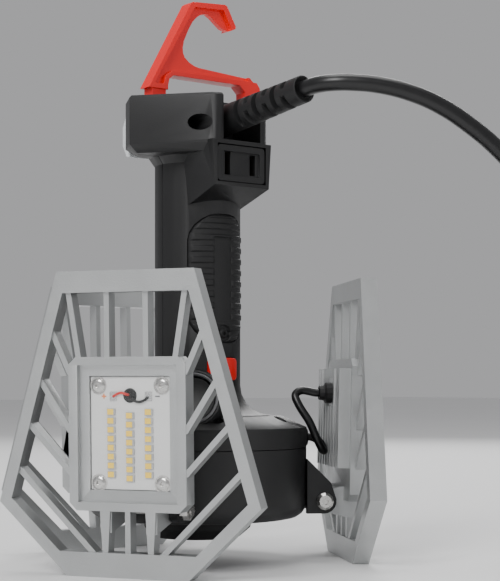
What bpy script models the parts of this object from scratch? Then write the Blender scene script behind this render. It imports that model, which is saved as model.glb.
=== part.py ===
"""Three-panel work light: a round handle on a hub that carries three hinged light heads.

Millimetre values are written as numbers times MM.  +Z is up, the outlet and the grip face -Y, and
Z = 0 is the surface that the three heads' bottom bars stand on.
"""
import math

import bmesh
import bpy
from mathutils import Matrix, Vector

for old in list(bpy.data.objects):
    bpy.data.objects.remove(old, do_unlink=True)

MM = 0.001
GAP = 0.3 * MM                     # between pieces that would touch

# ---- driving dimensions -------------------------------------------------------------------------
AXIS_Y = 5.6 * MM                  # the hub's axis, so that the whole light is centred on the origin
HANDLE_R = 17.8 * MM
HANDLE_BORE_R = 15.2 * MM
HANDLE_FOOT_Z = 60.5 * MM          # the handle's flared foot stands on the hub here
HANDLE_TOP_Z = 168.0 * MM
HUB_R = 45.4 * MM
HUB_WALL = 2.6 * MM
HUB_TOP_Z = 60.2 * MM
SHOULDER_Z = 54.7 * MM             # lower edge of the sloped shoulder
SEAM_Z = 47.1 * MM
HUB_BOTTOM_Z = 18.1 * MM
FOOT_R = 22.2 * MM
FOOT_Z = 9.9 * MM
HUB_SCREW_TURNS = (-25.0, 27.0, 120.0, -120.0)
HUB_SCREW_RING = 37.5 * MM

HEAD_TURNS = {"left": -60.0, "right": 60.0, "rear": 180.0}   # degrees round the hub from the front
HEAD_TILT = math.radians(1.3)      # the heads lean out a little as they stand
HINGE_R = 50.8 * MM                # the hinge line's distance from the hub's axis
FRONT_A = 17.0 * MM                # the frame's front face, outward of the hinge line
FRAME_DEPTH = 6.8 * MM
BOTTOM_DROP = 24.7 * MM            # the frame's bottom edge, below the hinge line
HEAD_HEIGHT = 116.2 * MM
WIDE_RISE = 27.8 * MM              # the widest corners, above the bottom edge
TOP_HALF = 28.65 * MM
WIDE_HALF = 54.4 * MM
FOOT_HALF = 25.25 * MM
LEG_WIDTH = 4.6 * MM
HINGE_Z = FRONT_A * math.sin(HEAD_TILT) + BOTTOM_DROP * math.cos(HEAD_TILT)
LUG_IN, LUG_OUT = 7.2 * MM, 11.8 * MM      # the casting's two hinge lugs, each side of its middle
EAR_IN, EAR_OUT = 12.1 * MM, 15.5 * MM     # the hub's two ears outside them
BOLT_R = 2.0 * MM

HOUSING_Z0, HOUSING_Z1 = 169.7 * MM, 189.5 * MM
BLOCK_FRONT_Y = -30.0 * MM
BLOCK_HALF = 15.0 * MM
NOTCH_HALF = 9.4 * MM
NOTCH_FLOOR_Z = 171.0 * MM
OUTLET_HALF, OUTLET_Z0, OUTLET_Z1 = 12.3 * MM, 154.1 * MM, 169.3 * MM
BLADE_PITCH = 12.7 * MM            # between the two contacts of a North American outlet
HOOK_HALF, HOOK_WEB = 3.25 * MM, 1.25 * MM      # half the rim's width and half the web's
HOOK_POSTS = ((-25.0 * MM, -18.2 * MM), (23.4 * MM, 30.0 * MM))

CORD_R = 3.2 * MM
RELIEF_TIP = Vector((0.0, -68.0, 186.2)) * MM
RELIEF_DIR = Vector((0.0, -0.9933, 0.1155)).normalized()
RELIEF_LENGTH = 55.0 * MM
COIL_CENTRE = Vector((118.0, -146.0, 0.0)) * MM
COIL_IN_R, COIL_OUT_R, COIL_HEIGHT = 28.0 * MM, 44.0 * MM, 20.0 * MM

materials = {}
root = bpy.data.objects.new("hub_axis", None)
bpy.context.collection.objects.link(root)
root.location = (0.0, AXIS_Y, 0.0)


# ---- helpers ------------------------------------------------------------------------------------
def material(name, colour, roughness, metallic=0.0, alpha=1.0):
    mat = bpy.data.materials.new(name)
    mat.use_nodes = True
    shader = mat.node_tree.nodes["Principled BSDF"]
    shader.inputs["Base Color"].default_value = (*colour, 1.0)
    shader.inputs["Roughness"].default_value = roughness
    shader.inputs["Metallic"].default_value = metallic
    shader.inputs["Alpha"].default_value = alpha
    materials[name] = mat


def add_object(name, bm, mat=None, parent=None, matrix=None, angle=35.0):
    """Make an object of a bmesh, shaded smooth up to an angle in degrees."""
    bmesh.ops.recalc_face_normals(bm, faces=bm.faces[:])
    if bm.calc_volume(signed=True) < 0:
        bmesh.ops.reverse_faces(bm, faces=bm.faces[:])
    mesh = bpy.data.meshes.new(name)
    bm.to_mesh(mesh)
    bm.free()
    mesh.shade_smooth()
    mesh.set_sharp_from_angle(angle=math.radians(angle))
    obj = bpy.data.objects.new(name, mesh)
    bpy.context.collection.objects.link(obj)
    if mat:
        mesh.materials.append(materials[mat])
    obj.parent = parent or root
    if matrix is not None:
        obj.matrix_basis = matrix
    return obj


def prism(outline, low, high, plane="xy"):
    """Extrude a closed outline.  plane names the two axes of its points; low and high are the third."""
    place = {"xy": lambda u, v, h: (u, v, h), "xz": lambda u, v, h: (u, h, v),
             "yz": lambda u, v, h: (h, u, v)}[plane]
    bm = bmesh.new()
    rings = [[bm.verts.new(place(u, v, h)) for u, v in outline] for h in (low, high)]
    bm.faces.new(rings[0])
    bm.faces.new(rings[1])
    count = len(outline)
    for i in range(count):
        j = (i + 1) % count
        bm.faces.new((rings[0][i], rings[0][j], rings[1][j], rings[1][i]))
    return bm


def block(x0, x1, y0, y1, z0, z1):
    return prism([(x0, y0), (x1, y0), (x1, y1), (x0, y1)], z0, z1)


def loft(rings):
    """Join closed rings of equal length, given as lists of points, and cap both ends."""
    bm = bmesh.new()
    made = [[bm.verts.new(p) for p in ring] for ring in rings]
    count = len(made[0])
    for low, high in zip(made, made[1:]):
        for i in range(count):
            j = (i + 1) % count
            bm.faces.new((low[i], low[j], high[j], high[i]))
    bm.faces.new(made[0])
    bm.faces.new(made[-1])
    bmesh.ops.triangulate(bm, faces=bm.faces[:])
    return bm


def lathe(profile, sides=48, centre=(0.0, 0.0)):
    """Turn a closed profile of (radius, height) points about a vertical line; radius 0 is the line."""
    bm = bmesh.new()
    cx, cy = centre
    rings = []
    for radius, height in profile:
        if radius < 1e-7:
            rings.append([bm.verts.new((cx, cy, height))])
            continue
        angles = [2 * math.pi * k / sides for k in range(sides)]
        rings.append([bm.verts.new((cx + radius * math.cos(a), cy + radius * math.sin(a), height))
                      for a in angles])
    for low, high in zip(rings, rings[1:] + rings[:1]):
        if len(low) == 1 and len(high) == 1:
            continue
        for k in range(sides):
            n = (k + 1) % sides
            if len(low) == 1:
                bm.faces.new((low[0], high[n], high[k]))
            elif len(high) == 1:
                bm.faces.new((low[k], low[n], high[0]))
            else:
                bm.faces.new((low[k], low[n], high[n], high[k]))
    return bm


def rod(start, end, radius, sides=20, end_radius=None):
    """A round bar from start to end, tapered if end_radius is given."""
    start, end = Vector(start), Vector(end)
    bm = bmesh.new()
    bmesh.ops.create_cone(bm, cap_ends=True, segments=sides, radius1=radius,
                          radius2=radius if end_radius is None else end_radius,
                          depth=(end - start).length)
    turn = (end - start).to_track_quat("Z", "Y").to_matrix().to_4x4()
    bm.transform(Matrix.Translation((start + end) / 2) @ turn)
    return bm


def arc(cx, cy, radius, start, end, steps):
    """Points on an arc, angles in degrees."""
    angles = [math.radians(start + (end - start) * k / steps) for k in range(steps + 1)]
    return [(cx + radius * math.cos(a), cy + radius * math.sin(a)) for a in angles]


def rounded(x0, x1, y0, y1, radius, steps=4):
    """A rectangle's outline with round corners."""
    return (arc(x1 - radius, y0 + radius, radius, -90, 0, steps)
            + arc(x1 - radius, y1 - radius, radius, 0, 90, steps)
            + arc(x0 + radius, y1 - radius, radius, 90, 180, steps)
            + arc(x0 + radius, y0 + radius, radius, 180, 270, steps))


def combine(obj, bm, operation="DIFFERENCE"):
    """Cut obj with a bmesh given in obj's own axes, or join or intersect the two."""
    tool = add_object("tool", bm)
    tool.parent = None
    tool.matrix_basis = Matrix.Identity(4)
    kept, kept_parent = obj.matrix_basis.copy(), obj.parent
    obj.parent = None
    obj.matrix_basis = Matrix.Identity(4)
    modifier = obj.modifiers.new("combine", "BOOLEAN")
    modifier.operation = operation
    modifier.solver = "EXACT"
    modifier.object = tool
    result = bpy.data.meshes.new_from_object(
        obj.evaluated_get(bpy.context.evaluated_depsgraph_get()))
    obj.modifiers.remove(modifier)
    old = obj.data
    obj.data = result
    bpy.data.meshes.remove(old)
    bpy.data.objects.remove(tool)
    obj.parent = kept_parent
    obj.matrix_basis = kept
    return obj


def join(obj, bm):
    return combine(obj, bm, "UNION")


def polar(radius, degrees, z=0.0):
    """A point round the hub's axis; 0 degrees is the front, positive turns towards +X."""
    a = math.radians(degrees)
    return Vector((radius * math.sin(a), -radius * math.cos(a), z))


def smooth_route(points, step):
    """Points a step apart along one smooth (Catmull-Rom) curve through the given points."""
    ends = [points[0] * 2 - points[1]] + points + [points[-1] * 2 - points[-2]]
    fine = []
    for a, b, c, d in zip(ends, ends[1:], ends[2:], ends[3:]):
        for k in range(24):
            t = k / 24
            fine.append(0.5 * (2 * b + (c - a) * t + (2 * a - 5 * b + 4 * c - d) * t * t
                               + (3 * b - 3 * c + d - a) * t ** 3))
    fine.append(points[-1])
    route, walked = [fine[0]], 0.0
    for a, b in zip(fine, fine[1:]):
        walked += (b - a).length
        if walked >= step:
            route.append(b)
            walked = 0.0
    if (route[-1] - fine[-1]).length < step * 0.5:
        route.pop()
    return route + [fine[-1]]


def tube(name, route, radius, mat, resolution):
    """A cord's plain solid: a POLY curve with a round bevel and filled caps."""
    curve = bpy.data.curves.new(name, "CURVE")
    curve.dimensions = "3D"
    curve.bevel_depth = radius
    curve.bevel_resolution = resolution
    curve.use_fill_caps = True
    spline = curve.splines.new("POLY")
    spline.points.add(len(route) - 1)
    for point, place in zip(spline.points, route):
        point.co = (*place, 1.0)
    curve.materials.append(materials[mat])
    obj = bpy.data.objects.new(name, curve)
    bpy.context.collection.objects.link(obj)
    obj.parent = root
    return obj


material("black_plastic", (0.018, 0.018, 0.02), 0.45)
material("red_plastic", (0.80, 0.03, 0.02), 0.4)
material("cast_silver", (0.55, 0.56, 0.57), 0.5, 0.6)
material("clear_glass", (0.95, 0.97, 0.97), 0.05, 0.0, 0.3)
material("white_board", (0.85, 0.85, 0.83), 0.6)
material("black_rubber", (0.015, 0.015, 0.016), 0.65)
material("nickel", (0.75, 0.74, 0.72), 0.25, 1.0)
material("frosted_lens", (0.85, 0.86, 0.86), 0.35)
material("cord_vinyl", (0.012, 0.012, 0.013), 0.35)
material("brass", (0.75, 0.6, 0.3), 0.3, 1.0)
material("green_board", (0.03, 0.2, 0.08), 0.5)


# ---- handle and top housing: one outside, split at Y = 0 into a front and a rear shell ----------
def flare_profile():
    """The handle's outside from its top down to the flared foot, as (radius, height)."""
    bend = 12.4 * MM               # radius of the concave flare
    centre_z = HANDLE_FOOT_Z + bend
    curve = [(HANDLE_R + bend * (1 - math.cos(math.radians(a))),
              centre_z - bend * math.sin(math.radians(a))) for a in range(0, 91, 18)]
    return curve


def housing_plan(inset=0.0):
    """The top housing seen from above: outlet block in front, slanted wings, tapered back."""
    right = [(28.0 * MM - inset, 12.0 * MM - inset), (35.2 * MM - inset, -1.5 * MM)]
    corner = arc(BLOCK_HALF - 5.0 * MM, BLOCK_FRONT_Y + 5.0 * MM, 5.0 * MM, -35, -90, 4)
    right += [(x, y + inset) for x, y in corner]
    return right + [(-x, y) for x, y in reversed(right)]


def handle_outside():
    profile = [(0.0, HANDLE_TOP_Z), (HANDLE_R + 3.2 * MM, HANDLE_TOP_Z),
               (HANDLE_R, HANDLE_TOP_Z - 4.6 * MM)] + flare_profile()
    profile += [(0.0, HANDLE_FOOT_Z)]
    outside = add_object("front_shell", lathe(profile, 48), "black_plastic")
    plan, under = housing_plan(), housing_plan(3.6 * MM)
    rings = [[(x, y, HOUSING_Z0 - 3.2 * MM) for x, y in under],
             [(x, y, HOUSING_Z0) for x, y in plan],
             [(x, y, HOUSING_Z1 - 0.9 * MM) for x, y in plan],
             [(x, y, HOUSING_Z1) for x, y in housing_plan(0.9 * MM)]]
    join(outside, loft(rings))
    low_half, low_z, back_y = 13.8 * MM, 152.6 * MM, -4.0 * MM
    slope_z = 148.2 * MM - 5.0 * MM
    side = [(BLOCK_FRONT_Y, low_z), (BLOCK_FRONT_Y, HOUSING_Z0 + 1.0 * MM),
            (back_y, HOUSING_Z0 + 1.0 * MM), (back_y, slope_z)]
    block_rings = []
    for x_low, x_high in ((-low_half, -BLOCK_HALF), (low_half, BLOCK_HALF)):
        lean = (x_high - x_low) / (side[1][1] - low_z)
        block_rings.append([(x_low + lean * (z - low_z), y, z) for y, z in side])
    join(outside, loft(block_rings))
    return outside


def hollow_out(outside):
    combine(outside, block(-60 * MM, 60 * MM, 12.0 * MM, 40 * MM, 166.6 * MM, 200 * MM))
    top_z, neck_r = HOUSING_Z0 + 2.0 * MM, 9.0 * MM
    combine(outside, lathe([(0.0, top_z), (neck_r, top_z), (neck_r, 163.5 * MM),
                            (HANDLE_BORE_R, 161.0 * MM), (HANDLE_BORE_R, 50.0 * MM),
                            (0.0, 50.0 * MM)], 32))
    room = [(-31.6, -1.2), (-25.2, -9.7), (25.2, -9.7), (31.6, -1.2), (24.6, 9.4), (-24.6, 9.4)]
    combine(outside, prism([(x * MM, y * MM) for x, y in room], HOUSING_Z0 + 0.4 * MM,
                           HOUSING_Z1 - 2.6 * MM))
    combine(outside, block(-NOTCH_HALF, NOTCH_HALF, -40 * MM, -12.2 * MM, NOTCH_FLOOR_Z, 200 * MM))
    combine(outside, block(-OUTLET_HALF, OUTLET_HALF, -40 * MM, -8.0 * MM, OUTLET_Z0, OUTLET_Z1))


SHELL_SCREW_X, SHELL_SCREW_Z = 16.9 * MM, 177.7 * MM
LOW_SCREW_Z = 94.0 * MM


def shell_screw_places():
    return {"left": (-SHELL_SCREW_X, SHELL_SCREW_Z, -13.0 * MM, 3.25 * MM),
            "right": (SHELL_SCREW_X, SHELL_SCREW_Z, -13.0 * MM, 3.25 * MM)}


def screw_bosses(shells):
    """Counterbores in the front shell and posts in the rear one for the two housing screws."""
    front, rear = shells
    for x, z, seat_y, radius in shell_screw_places().values():
        combine(front, rod((x, -45 * MM, z), (x, seat_y, z), radius, 20))
        combine(front, rod((x, -20 * MM, z), (x, -2 * MM, z), 1.6 * MM, 8))
        join(rear, rod((x, 0.15 * MM, z), (x, 10.6 * MM, z), 3.6 * MM, 12))
        combine(rear, rod((x, -1 * MM, z), (x, 7.0 * MM, z), 1.6 * MM, 8))
    sleeve = lathe([(1.65 * MM, 0.15 * MM), (3.4 * MM, 0.15 * MM), (3.4 * MM, 16 * MM),
                    (1.65 * MM, 16 * MM)], 14)
    sleeve.transform(Matrix.Translation((0, 0, LOW_SCREW_Z)) @ Matrix.Rotation(math.radians(90), 4, "X"))
    join(front, sleeve)
    combine(front, rod((0, -25 * MM, LOW_SCREW_Z), (0, -13.5 * MM, LOW_SCREW_Z), 1.9 * MM, 10))
    join(rear, rod((0, 0.15 * MM, LOW_SCREW_Z), (0, 16 * MM, LOW_SCREW_Z), 3.4 * MM, 14))
    combine(rear, rod((0, -5 * MM, LOW_SCREW_Z), (0, 8.0 * MM, LOW_SCREW_Z), 1.65 * MM, 10))
    combine(rear, block(-13 * MM, 13 * MM, 6 * MM, 20 * MM, 171.2 * MM, 184.8 * MM))


def split_shells(outside):
    rear = add_object("rear_shell", bmesh.new(), "black_plastic")
    rear.data = outside.data.copy()
    combine(outside, block(-80 * MM, 80 * MM, -0.15 * MM, 60 * MM, 0.0, 260 * MM))
    combine(rear, block(-80 * MM, 80 * MM, -60 * MM, 0.15 * MM, 0.0, 260 * MM))
    return outside, rear


# ---- grip pad, mode button and the round cap ----------------------------------------------------
PAD_HALF, PAD_Z0, PAD_Z1 = 13.4 * MM, 90.4 * MM, 142.4 * MM
BUTTON_HALF, BUTTON_Z0, BUTTON_Z1 = 7.0 * MM, 74.9 * MM, 84.0 * MM
CAP_TURN, CAP_RISE = -46.0, math.radians(15.0)
CAP_CENTRE = polar(37.0 * MM, -40.0, 67.8 * MM)
CAP_DIR = (polar(1.0, CAP_TURN) * math.cos(CAP_RISE) + Vector((0, 0, math.sin(CAP_RISE))))
CAP_OUT_R, CAP_BORE_R, CAP_DEPTH = 12.4 * MM, 10.9 * MM, 7.0 * MM


def pad_outline(grow=0.0):
    """The grip inlay from the front: round ends, flat sides."""
    half, low, high = PAD_HALF + grow, PAD_Z0 - grow, PAD_Z1 + grow
    return rounded(-half, half, low, high, 11.0 * MM, 5)


def grip_and_button(front):
    sleeve = lathe([(16.8 * MM, 85 * MM), (18.4 * MM, 85 * MM), (18.4 * MM, 148 * MM),
                    (16.8 * MM, 148 * MM)], 48)
    pad = add_object("grip_pad", sleeve, "black_rubber")
    combine(pad, prism(pad_outline(), -30 * MM, -2 * MM, "xz"), "INTERSECT")
    pocket = lathe([(16.5 * MM, 80 * MM), (21 * MM, 80 * MM), (21 * MM, 152 * MM),
                    (16.5 * MM, 152 * MM)], 48)
    pocket_tool = add_object("pocket", pocket)
    combine(pocket_tool, prism(pad_outline(GAP), -30 * MM, -2 * MM, "xz"), "INTERSECT")
    cutter = bmesh.new()
    cutter.from_mesh(pocket_tool.data)
    bpy.data.objects.remove(pocket_tool)
    combine(front, cutter)
    combine(pad, rod((0, -30 * MM, LOW_SCREW_Z), (0, 0, LOW_SCREW_Z), 2.5 * MM, 14))

    hole = rounded(-BUTTON_HALF - GAP, BUTTON_HALF + GAP, BUTTON_Z0 - GAP, BUTTON_Z1 + GAP, 2.0 * MM, 3)
    combine(front, prism(hole, -30 * MM, -5 * MM, "xz"))
    face = lathe([(0.0, 60 * MM), (19.0 * MM, 60 * MM), (19.0 * MM, 100 * MM), (0.0, 100 * MM)], 48)
    button = add_object("mode_button", face, "red_plastic")
    outline = rounded(-BUTTON_HALF, BUTTON_HALF, BUTTON_Z0, BUTTON_Z1, 1.8 * MM, 3)
    combine(button, prism(outline, -30 * MM, -11.6 * MM, "xz"), "INTERSECT")
    join(button, block(-7.8 * MM, 7.8 * MM, -12.4 * MM, -11.2 * MM, 73.4 * MM, 85.5 * MM))
    spring_z = (BUTTON_Z0 + BUTTON_Z1) / 2
    spring = add_object("button_spring", rod((0, -10.9 * MM, spring_z), (0, -8.0 * MM, spring_z),
                                             3.0 * MM, 14), "nickel")
    combine(spring, rod((0, -20 * MM, spring_z), (0, 0, spring_z), 2.4 * MM, 14))
    add_object("switch_body", block(-6 * MM, 6 * MM, -7.7 * MM, 13.5 * MM, 72 * MM, 87 * MM),
               "black_plastic")


def cap_place():
    return Matrix.Translation(CAP_CENTRE) @ CAP_DIR.to_track_quat("Z", "Y").to_matrix().to_4x4()


def hub_cover():
    bottom_z = SEAM_Z + 0.15 * MM
    profile = [(14.0 * MM, HUB_TOP_Z), (35.2 * MM, HUB_TOP_Z), (HUB_R, SHOULDER_Z + 0.8 * MM),
               (HUB_R + 0.2 * MM, SHOULDER_Z - 0.4 * MM), (HUB_R, bottom_z),
               (HUB_R - HUB_WALL, bottom_z), (HUB_R - HUB_WALL, 53.0 * MM),
               (34.4 * MM, HUB_TOP_Z - HUB_WALL), (14.0 * MM, HUB_TOP_Z - HUB_WALL)]
    cover = add_object("hub_cover", lathe(profile, 48), "black_plastic")
    for turn in HUB_SCREW_TURNS:
        spot = polar(HUB_SCREW_RING, turn)
        join(cover, rod(spot + Vector((0, 0, bottom_z)), spot + Vector((0, 0, 57.0 * MM)), 4.2 * MM, 10))
        combine(cover, rod(spot + Vector((0, 0, 51.5 * MM)), spot + Vector((0, 0, 70 * MM)), 2.7 * MM, 12))
        combine(cover, rod(spot + Vector((0, 0, 40 * MM)), spot + Vector((0, 0, 60 * MM)), 1.6 * MM, 8))
    for turn in HEAD_TURNS.values():
        combine(cover, rod(exit_point(turn, 38 * MM), exit_point(turn, 60 * MM), 2.9 * MM, 12))
    drum = lathe([(0.0, -15.0 * MM), (CAP_OUT_R, -15.0 * MM), (CAP_OUT_R, -1.6 * MM),
                  (CAP_OUT_R - 0.9 * MM, 0.0), (0.0, 0.0)], 28)
    drum.transform(cap_place())
    join(cover, drum)
    combine(cover, rod(CAP_CENTRE - CAP_DIR * CAP_DEPTH, CAP_CENTRE + CAP_DIR * 9 * MM, CAP_BORE_R, 28))
    return cover


LEAD_R = 1.7 * MM
EXIT_W, EXIT_Z = 4.5 * MM, 50.9 * MM       # where a head's lead goes into the hub


def head_point(turn, w, radius, z):
    """A point in a head's own directions: w sideways, radius outward from the hub's axis, and z."""
    return Matrix.Rotation(math.radians(turn), 3, "Z") @ Vector((w, -radius, z))


def exit_point(turn, radius):
    return head_point(turn, EXIT_W, radius, EXIT_Z)


def round_cap():
    """A dished cap in a bright-edged ring on the hub's shoulder."""
    floor = -CAP_DEPTH + GAP
    ring = [(9.4 * MM, 0.1 * MM), (10.0 * MM, 0.6 * MM), (CAP_BORE_R - GAP, 0.1 * MM),
            (CAP_BORE_R - GAP, floor), (9.4 * MM, floor)]
    place = cap_place()
    add_object("cap_bezel", lathe(ring, 28), "black_plastic", matrix=place)
    dish = [(0.0, -3.0 * MM), (5.0 * MM, -2.7 * MM), (8.6 * MM, -1.6 * MM), (9.1 * MM, -2.2 * MM),
            (9.1 * MM, floor), (0.0, floor)]
    add_object("round_cap", lathe(dish, 28), "black_plastic", matrix=place)


# ---- hub base with its ears, foot and inner driver board ----------------------------------------
def ear_outline():
    """One ear in (radius, z): a gusset down from the hub's wall to the round end on the hinge."""
    end = 5.1 * MM
    return ([(43.6 * MM, HINGE_Z - end), (HINGE_R, HINGE_Z - end)]
            + arc(HINGE_R, HINGE_Z, end, -75, 30, 5)
            + [(53.6 * MM, 32.6 * MM), (43.6 * MM, 42.6 * MM)])


def hub_base():
    top_z, bend = SEAM_Z - 0.15 * MM, 6.5 * MM
    inner = HUB_R - HUB_WALL
    fillet = arc(HUB_R - bend, HUB_BOTTOM_Z + bend, bend, 0, -90, 4)
    floor_z = HUB_BOTTOM_Z + 2.6 * MM
    profile = ([(inner, top_z), (HUB_R, top_z)] + fillet + [(0.0, HUB_BOTTOM_Z), (0.0, floor_z)]
               + [(inner - 4.0 * MM, floor_z), (inner, floor_z + 4.0 * MM)])
    base = add_object("hub_base", lathe(profile, 48), "black_plastic")
    for turn in HUB_SCREW_TURNS:
        spot = polar(HUB_SCREW_RING, turn)
        join(base, rod(spot + Vector((0, 0, 19 * MM)), spot + Vector((0, 0, top_z)), 4.2 * MM, 10))
        combine(base, rod(spot + Vector((0, 0, 33 * MM)), spot + Vector((0, 0, 60 * MM)), 1.6 * MM, 8))
    outline = ear_outline()
    for turn in HEAD_TURNS.values():
        spin = Matrix.Rotation(math.radians(turn), 4, "Z")
        for side in (-1, 1):
            low, high = sorted((side * EAR_IN, side * EAR_OUT))
            ear = prism([(-r, z) for r, z in outline], low, high, "yz")
            ear.transform(spin)
            join(base, ear)
        bore = rod((-30 * MM, -HINGE_R, HINGE_Z), (30 * MM, -HINGE_R, HINGE_Z), BOLT_R + GAP, 12)
        bore.transform(spin)
        combine(base, bore)
    foot_top = HUB_BOTTOM_Z - GAP
    add_object("foot_plate", lathe([(0.0, foot_top), (FOOT_R, foot_top), (FOOT_R, 14.1 * MM),
                                    (FOOT_R - 4.9 * MM, FOOT_Z), (0.0, FOOT_Z)], 40), "black_rubber")
    board = rounded(-24 * MM, 24 * MM, -20 * MM, 20 * MM, 3 * MM, 3)
    add_object("driver_board", prism(board, 21.0 * MM, 22.6 * MM), "green_board")
    return base


def small_screw(name, head_from, direction, head_r, shank_r, length):
    """A pan-head screw: head_from is under the head, and direction points out of the work."""
    direction = Vector(direction).normalized()
    place = Matrix.Translation(head_from) @ direction.to_track_quat("Z", "Y").to_matrix().to_4x4()
    thick = head_r * 0.7
    profile = [(0.0, thick), (head_r * 0.7, thick), (head_r, thick * 0.55), (head_r, 0.0),
               (shank_r, 0.0), (shank_r, -length), (0.0, -length)]
    screw = add_object(name, lathe(profile, 10), "nickel", matrix=place)
    combine(screw, prism(arc(0, 0, head_r * 0.42, 0, 300, 5), thick * 0.45, thick * 2))
    return screw


def fasteners():
    for side, (x, z, seat_y, _) in shell_screw_places().items():
        small_screw(f"housing_screw_{side}", (x, seat_y - GAP, z), (0, -1, 0), 2.7 * MM, 1.3 * MM, 19 * MM)
    small_screw("handle_screw", (0, -16.8 * MM, LOW_SCREW_Z), (0, -1, 0), 2.1 * MM, 1.3 * MM, 22 * MM)
    for number, turn in enumerate(HUB_SCREW_TURNS, 1):
        spot = polar(HUB_SCREW_RING, turn, 51.5 * MM + GAP)
        small_screw(f"hub_screw_{number}", spot, (0, 0, 1), 2.4 * MM, 1.3 * MM, 17 * MM)


# ---- outlet, task lens and hook -----------------------------------------------------------------
def outlet():
    """A polarised two-slot outlet face in the block, with its two contacts behind the slots."""
    half, z0, z1 = OUTLET_HALF - GAP, OUTLET_Z0 + GAP, OUTLET_Z1 - GAP
    face = add_object("outlet_face", prism(rounded(-half, half, z0, z1, 1.4 * MM, 2), -29.6 * MM,
                                           -20.0 * MM, "xz"), "black_plastic")
    rim = 2.6 * MM
    combine(face, prism(rounded(-half + rim, half - rim, z0 + rim, z1 - rim, 0.6 * MM, 2), -40 * MM,
                        -28.7 * MM, "xz"))
    middle = (OUTLET_Z0 + OUTLET_Z1) / 2
    for side, tall in ((-1, 9.4 * MM), (1, 8.2 * MM)):
        x = side * BLADE_PITCH / 2
        combine(face, block(x - 1.4 * MM, x + 1.4 * MM, -40 * MM, -10 * MM, middle - tall / 2,
                            middle + tall / 2))
        name = "contact_left" if side < 0 else "contact_right"
        add_object(name, block(x - 3.0 * MM, x + 3.0 * MM, -19.6 * MM, -16.8 * MM, middle - 5 * MM,
                               middle + 5 * MM), "brass")


def task_lens():
    """The frosted lens that closes the back of the housing, with chamfers all round."""
    low, high, base_y = 166.9 * MM, 185.6 * MM, 12.3 * MM
    half = 26.0 * MM
    shapes = ((base_y, 0.0, 0.0), (base_y + 2.6 * MM, 0.3 * MM, 0.4 * MM),
              (base_y + 7.4 * MM, 1.6 * MM, 5.6 * MM))
    rings = [[(x, y, z) for x, z in ((-half + c, low + d), (half - c, low + d), (half - c, high - d),
                                    (-half + c, high - d))] for y, c, d in shapes]
    add_object("task_lens", loft(rings), "frosted_lens")
    add_object("task_led_board", block(-12.7 * MM, 12.7 * MM, 9.8 * MM, 11.4 * MM, 171.5 * MM,
                                       184.5 * MM), "white_board")


def hook():
    """The hanging hook: a spine, a bar over a finger gap, and a mouth above; a rim round a thin web."""
    spine = [(-26.9, 193.6), (-5.8, 230.5), (-4.6, 231.4), (12.3, 232.7), (13.3, 232.0), (17.9, 224.1),
             (17.5, 223.2), (15.0, 222.1)]
    mouth = [(11.8, 222.9), (9.1, 224.8), (6.5, 226.7), (3.9, 228.0), (0.7, 227.2), (-1.3, 225.8),
             (-3.4, 223.7), (-5.5, 220.2), (-7.8, 215.3), (-8.5, 212.2), (-8.3, 210.0), (-7.4, 208.3),
             (-5.3, 206.6), (-2.6, 205.4), (0.0, 204.9)]
    bar_end = [(25.4, 203.5), (27.2, 201.9), (29.2, 201.8), (30.8, 199.6), (30.8, 193.6), (22.9, 193.6),
               (22.9, 197.0), (20.0, 199.8), (-14.5, 199.8), (-16.6, 198.2), (-17.3, 195.5),
               (-17.3, 193.6)]
    outline = [(x * MM, z * MM) for x, z in spine + mouth + bar_end]
    body = add_object("hook", prism(outline, -HOOK_HALF, HOOK_HALF, "xz"), "red_plastic")
    recess = [(-23.9, 195.8), (-3.6, 229.4), (11.4, 230.3), (15.6, 223.4), (12.0, 218.0), (12.0, 208.0),
              (24.0, 206.5), (24.6, 202.0), (-15.2, 201.6), (-18.4, 199.3), (-19.4, 195.8)]
    recess = [(x * MM, z * MM) for x, z in recess]
    for low, high in ((-20 * MM, -HOOK_WEB), (HOOK_WEB, 20 * MM)):
        combine(body, prism(recess, low, high, "xz"))
    for x0, x1 in HOOK_POSTS:
        join(body, block(x0, x1, -2.9 * MM, 2.9 * MM, HOUSING_Z1 - 6.0 * MM, 194.2 * MM))
    return body


def hook_sockets(shells):
    """Sockets in the housing's top for the hook's two posts, half in each shell."""
    for shell in shells:
        for x0, x1 in HOOK_POSTS:
            combine(shell, block(x0 - GAP, x1 + GAP, -2.9 * MM - GAP, 2.9 * MM + GAP, 183 * MM, 200 * MM))


# ---- light heads --------------------------------------------------------------------------------
def slab(w0, w1, a0, a1, z0, z1):
    """A block in a head's own axes: w sideways, a outward of the hinge line, z above it."""
    return block(w0, w1, -a1, -a0, z0, z1)


def bar(start, end, width, a0, a1, end_width=None):
    """A straight rib in the frame's plane between two (w, z) points."""
    start, end = Vector(start), Vector(end)
    side = Vector((-(end - start).y, (end - start).x)).normalized()
    half, far = side * width / 2, side * (end_width or width) / 2
    outline = [tuple(p) for p in (start - half, end - far, end + far, start + half)]
    return prism(outline, -a1, -a0, "xz")


def inset_outline(points, amount):
    """Move each edge of a convex outline inwards by an amount."""
    moved, count = [], len(points)
    for i in range(count):
        a, b, c = (Vector(points[(i + k) % count]) for k in (-1, 0, 1))
        into, out = (b - a).normalized(), (c - b).normalized()
        n1, n2 = Vector((-into.y, into.x)), Vector((-out.y, out.x))
        moved.append(tuple(b + (n1 + n2) * amount / (1 + n1.dot(n2))))
    return moved


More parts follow.
